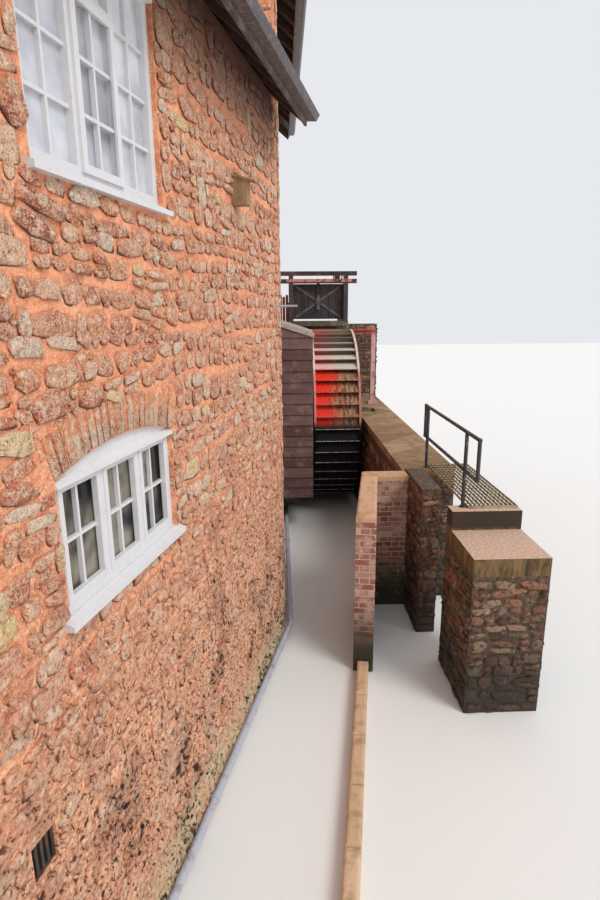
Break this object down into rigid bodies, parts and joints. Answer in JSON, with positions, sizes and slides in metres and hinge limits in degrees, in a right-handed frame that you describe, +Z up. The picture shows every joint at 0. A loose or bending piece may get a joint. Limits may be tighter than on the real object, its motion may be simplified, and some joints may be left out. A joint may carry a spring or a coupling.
{
  "type": "stone watermill with pitch-back wheel",
  "caption": "Rubble stone mill and wing with casement windows, a red pitch-back bucket wheel in its pit, timber trough, sluice gate, brick tailrace walls and a small footbridge with its handrail.",
  "frame": {"origin": "foot of the corner pier, where the middle lines of the two river walls meet, at water level", "axes": "+X out from the mill towards the water, +Y upstream along the mill's river wall, +Z up"},
  "size_m": [9.668, 15.3938, 11.1609],
  "materials": {
    "rubble": "rough red sandstone rubble in wide mortar",
    "pit_stone": "dark wet rubble with moss",
    "slab": "worn mossy slabs",
    "kerb": "worn tan stone",
    "coping": "worn cream stone",
    "brick": "old brickwork",
    "slate": "weathered slate",
    "ridge": "weathered clay ridge",
    "white_timber": "white gloss paint on timber",
    "glass": "old window glass",
    "floor_timber": "old floor boards",
    "roof_timber": "dark stained timber",
    "dark_boards": "dark stained feather-edge boards",
    "grey_timber": "weathered grey-brown timber",
    "brown_boards": "orange-brown boards",
    "verge_lead": "weathered boards with grey lead",
    "black_timber": "black tarred timber",
    "gutter_iron": "black painted gutter",
    "pipe_plastic": "pale grey pipe with dirt",
    "wheel_iron": "red paint, faded, rusty and mossy",
    "wheel_dark": "dark rusty iron",
    "bearing_iron": "greasy dark iron",
    "post_iron": "faded pinkish paint",
    "beam_iron": "red oxide paint",
    "grating": "weathered steel grating",
    "rail_tube": "dull galvanised tube"
  },
  "bodies": {
    "root": {"wing_river_wall": "rubble", "wing_land_wall": "rubble", "wing_end_wall": "rubble", "wing_floors": "floor_timber", "wing_roof": "slate", "mill_river_wall": "rubble", "mill_land_wall": "rubble", "mill_near_gable": "rubble", "mill_far_gable": "rubble", "mill_floors": "floor_timber", "mill_roof": "slate", "rafters": "roof_timber", "ridge_tiles": "ridge", "eaves_boards": "roof_timber", "gutters": "gutter_iron", "wall_pipes": "pipe_plastic", "low_window": "white_timber", "tall_window": "white_timber", "tall_casement": "white_timber", "window_sills": "white_timber", "window_arches": "brick", "plain_windows": "white_timber", "window_glass": "glass", "land_door": "grey_timber", "wall_box": "grey_timber", "wall_vent": "bearing_iron", "housing_boards": "dark_boards", "housing_frame": "dark_boards", "housing_roof": "verge_lead", "axle_bearings": "bearing_iron", "pit_wall": "pit_stone", "pit_back_wall": "pit_stone", "walkway_slabs": "slab", "brick_wall": "brick", "brick_coping": "coping", "kerb_wall": "kerb", "trough_post": "post_iron", "trough_beam": "beam_iron", "trough": "black_timber", "cheek_boards": "brown_boards", "sluice_frame": "black_timber", "bank_pier": "pit_stone", "landing": "slab", "footbridge": "grating", "bridge_rail": "rail_tube"},
    "wheel": {"wheel_shrouds": "wheel_iron", "wheel_sole": "wheel_dark", "wheel_buckets": "wheel_iron", "wheel_arms": "wheel_dark", "wheel_axle": "wheel_dark"},
    "gate": {"sluice_gate": "black_timber"},
    "winch": {"sluice_winch": "bearing_iron"}
  },
  "joints": [
    {"name": "wheel_turn", "type": "hinge", "parent": "root", "child": "wheel", "pos_m": [1.365, 5.575, 1.915], "axis": [1, 0, 0], "continuous": true},
    {"name": "gate_lift", "type": "slide", "parent": "root", "child": "gate", "axis": [0, 0, 1], "range_m": [-0.08, 0.25]},
    {"name": "winch_turn", "type": "hinge", "parent": "root", "child": "winch", "pos_m": [1.575, 6.215, 4.817], "axis": [0, 1, 0], "range_deg": [-110, 330]}
  ],
  "couplings": [
    {"joint": "winch_turn", "follows": "gate_lift", "rad_per_m": 22.222}
  ]
}
